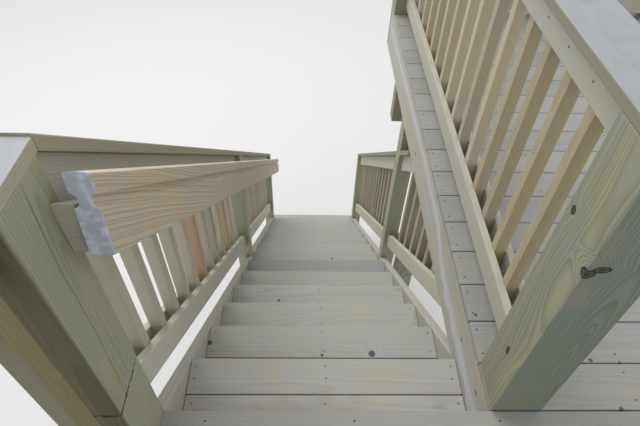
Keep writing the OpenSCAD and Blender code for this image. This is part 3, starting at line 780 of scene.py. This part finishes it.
class STAIRS_OT_finish_balusters(bpy.types.Operator):
    """Give every baluster its own stick of wood"""
    bl_idname = "stairs.finish_balusters"
    bl_label = "Balusters"

    def execute(self, context):
        colours = context.scene.timber
        half = LUMBER_T / 2
        post = place(0, 1.69, 0)[1]
        for node, pale, pitch, runs in (
                ("wing_balusters", colours.deck_baluster, DECK_PITCH, ALONG),
                ("far_balusters", colours.deck_baluster, DECK_PITCH, ACROSS),
                ("left_balusters", colours.shaded_baluster, DECK_PITCH, ALONG),
                ("stair_balusters_left", colours.stair_baluster, LEFT_PITCH, DOWN_STAIRS),
                ("stair_balusters_right", Vector(colours.stair_baluster) * 0.8, RIGHT_PITCH,
                 DOWN_STAIRS)):
            low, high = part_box(node)
            first = Vector(low) + Vector((half, half, 0))
            cell = (WIDE, WIDE, pitch) if runs == ACROSS else (WIDE, pitch, WIDE)
            bays = None
            if runs == DOWN_STAIRS:
                bays = (post, low[1] + half, high[1] - half, pitch, LOWER_PITCH)
            wood = Timber(f"{node} timber", pale, ALONG_Z, first, cell, seed=pitch * 90,
                          ring=0.0055, contrast=0.38 if runs == DOWN_STAIRS else 0.24,
                          vary=0.22, warm=0.1 if node == "left_balusters" else 0.6,
                          near=0.01, spread=0.10, knots=0.05, bays=bays)
            if node == "wing_balusters":
                # The wing's balusters are drawn darker and more tan towards the deck's front edge,
                # fading out by 1 m along: painted shade
                wood.side(1, 1.0, 0.25, (0.90, 0.84, 0.72))
            if node == "left_balusters":
                wood.bleach((0.225, 0.221, 0.160), 0.9, 1, -1)
            if node == "stair_balusters_left":
                t = wood.tree
                for y, tint in STICKS:
                    off = calc(t, "SUBTRACT", wood.axis(1), place(0, y, 0)[1])
                    stick = calc(t, "LESS_THAN", calc(t, "ABSOLUTE", off), 0.03)
                    wood.mark(calc(t, "MULTIPLY", stick, 0.6), tint)
            dress(node, wood.done())
        return {"FINISHED"}


class STAIRS_OT_finish_handrail(bpy.types.Operator):
    """Give the handrail its grain and its sealed upper end"""
    bl_idname = "stairs.finish_handrail"
    bl_label = "Handrail"

    def execute(self, context):
        colours = context.scene.timber
        low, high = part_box("handrail")
        wood = Timber("Handrail timber", colours.handrail, DOWN_FLIGHT,
                      ((low[0] + high[0]) / 2, 0, 0), ONE_BOARD, seed=4.0, ring=0.008,
                      contrast=0.62, vary=0.0, warm=0.0, near=0.03, spread=0.02, knots=0.08,
                      wander=0.032, deep=(0.66, 0.50, 0.32))
        wood.bleach((0.56, 0.52, 0.42), 0.5)
        # the end leans 8 degrees, and the sealer laps a little way round it
        t = wood.tree
        end, slant = place(0, -0.040, 0.7386), 0.1405
        lean = calc(t, "MULTIPLY", calc(t, "SUBTRACT", wood.axis(2), end[2]), slant)
        back = calc(t, "SUBTRACT", calc(t, "SUBTRACT", wood.axis(1), end[1]), lean)
        back = calc(t, "ADD", back, calc(t, "MULTIPLY", wood.noise(45), 0.02))
        sealed = ramp(t, back, 0.010, 0.006)
        wood.mark(calc(t, "MULTIPLY", sealed, 0.93), Vector(colours.sealer) * 0.88)
        streaks = ramp(t, wood.noise(55, 4.0), -0.05, 0.2, 0.0, 0.85)
        wood.mark(calc(t, "MULTIPLY", sealed, streaks), Vector(colours.sealer) * 1.28)
        dress("handrail", wood.done())
        return {"FINISHED"}


# ---- fixings -----------------------------------------------------------------------------

FACING = {"up": Matrix.Identity(4), "left": Matrix.Rotation(-pi / 2, 4, "Y"),
          "right": Matrix.Rotation(pi / 2, 4, "Y")}


def pick_faces(piece, test):
    """Select the faces of a piece that pass a test."""
    bpy.ops.object.mode_set(mode="EDIT")
    bpy.ops.mesh.select_mode(type="FACE")
    bpy.ops.mesh.select_all(action="DESELECT")
    bpy.ops.object.mode_set(mode="OBJECT")
    for face in piece.data.polygons:
        face.select = test(face)
    bpy.ops.object.mode_set(mode="EDIT")


class STAIRS_OT_drive_screws(bpy.types.Operator):
    """Model one screw head, and drive its copies through the boards"""
    bl_idname = "stairs.drive_screws"
    bl_label = "Screws"

    def model(self, context):
        """A head that faces up from the origin, rounded off and sunk for the driver."""
        sizes = context.scene.fixings
        wide, tall = sizes.head_radius, sizes.head_height
        bpy.ops.object.select_all(action="DESELECT")
        bpy.ops.mesh.primitive_cylinder_add(vertices=10, radius=wide, depth=tall * 2)
        head = context.object
        pick_faces(head, lambda face: face.normal.z > 0.5)
        bpy.ops.mesh.inset(thickness=wide * 0.12)
        bpy.ops.transform.translate(value=(0, 0, tall * 0.25))
        bpy.ops.mesh.inset(thickness=wide * 0.45)
        bpy.ops.mesh.inset(thickness=wide * 0.08)
        bpy.ops.transform.translate(value=(0, 0, -tall * 0.7))
        bpy.ops.object.mode_set(mode="OBJECT")
        return head

    def drive(self, context, name, model, spots, facing, material):
        """One piece made of copies of the head, set at the spots and turned."""
        copies = []
        for spot in spots:
            data = model.data.copy()
            data.transform(Matrix.Translation(spot) @ FACING[facing])
            copy = bpy.data.objects.new(name, data)
            context.collection.objects.link(copy)
            copies.append(copy)
        bpy.ops.object.select_all(action="DESELECT")
        for copy in copies:
            copy.select_set(True)
        context.view_layer.objects.active = copies[0]
        bpy.ops.object.join()
        piece = context.object
        piece.name = name
        piece.data.materials.append(material)
        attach(piece, "root")

    def execute(self, context):
        sizes = context.scene.fixings
        metal = bpy.data.materials.new("Dulled zinc")
        metal.use_nodes = True
        t = metal.node_tree
        shader = t.nodes["Principled BSDF"]
        where = put(t, "ShaderNodeTexCoord").outputs["Object"]
        spots = put(t, "ShaderNodeTexNoise", {"Vector": where, "Scale": 400.0,
                                              "Detail": 2.0}).outputs["Fac"]
        worn = blend(t, ramp(t, spots, 0.35, 0.7), sizes.metal, sizes.rust)
        t.links.new(worn, shader.inputs["Base Color"])
        t.links.new(ramp(t, spots, 0.3, 0.7, 0.45, 0.75), shader.inputs["Roughness"])
        shader.inputs["Metallic"].default_value = 0.6

        model = self.model(context)
        inset = sizes.edge_in
        treads = []
        for number in TREADS:
            low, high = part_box(f"tread_{number:02d}")
            front = high[1] - (inset + 0.044 if number == 1 else BOARD_W - inset)
            for y in (low[1] + inset, low[1] + BOARD_W - inset, front, high[1] - inset):
                for x in (-0.435, 0.002, 0.433):
                    slip = 0.003 * sin(17 * number + 40 * y + 9 * x)
                    treads.append(Vector((CENTRE_X + x + slip, y + slip / 2, high[2])))
        self.drive(context, "tread_screws", model, treads, "up", metal)

        # two to each board on every joist, none of them quite in line
        wing_joists, wing_boards, landing_boards = 5, 18, 8
        wing = [place(0.4763 + JOIST_PITCH * k + 0.002 * sin(5 * b + k), BOARD_PITCH * b + y, 0)
                for k in range(wing_joists) for b in range(wing_boards)
                for y in (BOARD_GAP + inset, BOARD_PITCH - inset)]
        landing = [place(x + 0.002 * sin(3 * b + 7 * x), -BOARD_PITCH * b - y, 0)
                   for x in (-0.5779, -0.3366, 0.0698, 0.4763, 0.8827, 1.2891, 1.6955, 2.1019)
                   for b in range(landing_boards) for y in (inset, BOARD_W - inset)
                   if x > -0.5 or b > 1]
        self.drive(context, "deck_screws", model, wing + landing, "up", metal)

        rows = [place(0.5207, 0.1998 + DECK_PITCH * k, 0.842) for k in range(16)]
        self.drive(context, "wing_rail_screws", model, rows, "left", metal)
        cap_height, half_rail, first_nosing = 0.914, 0.0583, 0.2664
        for side, first, pitch, count, facing, name in (
                (-1, 0.14505, LEFT_PITCH, 12, "right", "left_rail_screws_near"),
                (1, 0.69095, RIGHT_PITCH, 7, "left", "right_rail_screws_near"),
                (-1, LOWER_FIRST, LOWER_PITCH, 14, "right", "left_rail_screws_far"),
                (1, LOWER_FIRST, LOWER_PITCH, 14, "left", "right_rail_screws_far")):
            rows = []
            for k in range(count):
                y = first + pitch * k
                nosing = -RISE - (y - first_nosing) * RISE / RUN
                lift = 0.018 if side > 0 else 0
                high = nosing + cap_height - half_rail + lift
                if side < 0 or high < -0.30:
                    rows.append(place(side * 0.4826, y, high))
            self.drive(context, name, model, rows, facing, metal)
        bpy.data.objects.remove(model)
        return {"FINISHED"}


# ---- stage -------------------------------------------------------------------------------

class STAIRS_OT_stage(bpy.types.Operator):
    """Set the floor, the soft light and the camera"""
    bl_idname = "stairs.stage"
    bl_label = "Stage"

    def execute(self, context):
        stage = context.scene.stage
        scene = context.scene
        scene.view_settings.view_transform = "Standard"
        bpy.ops.object.select_all(action="DESELECT")
        bpy.ops.mesh.primitive_plane_add(size=60, location=(0, 0, 0))
        floor = context.object
        floor.name = "studio_floor"
        plain = bpy.data.materials.new("Studio floor")
        plain.use_nodes = True
        shader = plain.node_tree.nodes["Principled BSDF"]
        shader.inputs["Base Color"].default_value = (*stage.floor, 1)
        shader.inputs["Roughness"].default_value = 0.9
        shader.inputs["Specular IOR Level"].default_value = 0.1
        floor.data.materials.append(plain)

        world = bpy.data.worlds.new("Studio")
        world.use_nodes = True
        back = world.node_tree.nodes["Background"]
        back.inputs["Color"].default_value = (1, 1, 1, 1)
        back.inputs["Strength"].default_value = stage.sky
        scene.world = world

        bpy.ops.object.light_add(type="AREA", location=stage.lamp_at)
        lamp = context.object
        lamp.name = "broad_lamp"
        lamp.data.shape = "DISK"
        lamp.data.size = stage.lamp_size
        lamp.data.energy = stage.lamp
        aim = place(0, 1, 0) - Vector(stage.lamp_at)
        lamp.rotation_euler = aim.to_track_quat("-Z", "Y").to_euler()

        bpy.ops.object.camera_add(location=stage.camera_at)
        camera = context.object
        camera.name = "photo_camera"
        cp, sp = cos(stage.pitch), sin(stage.pitch)
        cy, sy = cos(stage.yaw), sin(stage.yaw)
        forward = Vector((sy * cp, cy * cp, -sp))
        right = Vector((cy, -sy, 0))
        up = right.cross(forward)
        side = cos(stage.roll) * right - sin(stage.roll) * up
        top = sin(stage.roll) * right + cos(stage.roll) * up
        turn = Matrix((side, top, -forward)).transposed()
        camera.rotation_euler = turn.to_euler()
        camera.data.lens = stage.lens
        camera.data.sensor_width = 36
        camera.data.clip_start = 0.02
        scene.camera = camera
        return {"FINISHED"}


STEPS = (STAIRS_OT_ease_edges, STAIRS_OT_finish_treads, STAIRS_OT_finish_deck,
         STAIRS_OT_finish_framing, STAIRS_OT_finish_posts, STAIRS_OT_finish_rails,
         STAIRS_OT_single_left_rails, STAIRS_OT_finish_balusters, STAIRS_OT_finish_handrail,
         STAIRS_OT_drive_screws, STAIRS_OT_stage)


class STAIRS_PT_panel(bpy.types.Panel):
    """Lists the steps that dress the stairs"""
    bl_idname = "STAIRS_PT_panel"
    bl_label = "Deck stairs"
    bl_space_type = "VIEW_3D"
    bl_region_type = "UI"
    bl_category = "Deck stairs"

    def draw(self, context):
        for step in STEPS:
            self.layout.operator(step.bl_idname)
        for group in (context.scene.timber, context.scene.fixings, context.scene.stage):
            for name in group.bl_rna.properties.keys():
                if name not in ("rna_type", "name"):
                    self.layout.prop(group, name)


CLASSES = (TimberSettings, FixingSettings, StageSettings) + STEPS + (STAIRS_PT_panel,)


def register():
    """Add the settings, the steps and the panel."""
    for item in CLASSES:
        bpy.utils.register_class(item)
    bpy.types.Scene.timber = PointerProperty(type=TimberSettings)
    bpy.types.Scene.fixings = PointerProperty(type=FixingSettings)
    bpy.types.Scene.stage = PointerProperty(type=StageSettings)


def unregister():
    """Take them away again."""
    for name in ("timber", "fixings", "stage"):
        delattr(bpy.types.Scene, name)
    for item in reversed(CLASSES):
        bpy.utils.unregister_class(item)


def main():
    """Dress the stairs step by step."""
    register()
    sawn_timber_group()
    for step in STEPS:
        group, name = step.bl_idname.split(".")
        getattr(getattr(bpy.ops, group), name)()


if __name__ == "__main__":
    main()
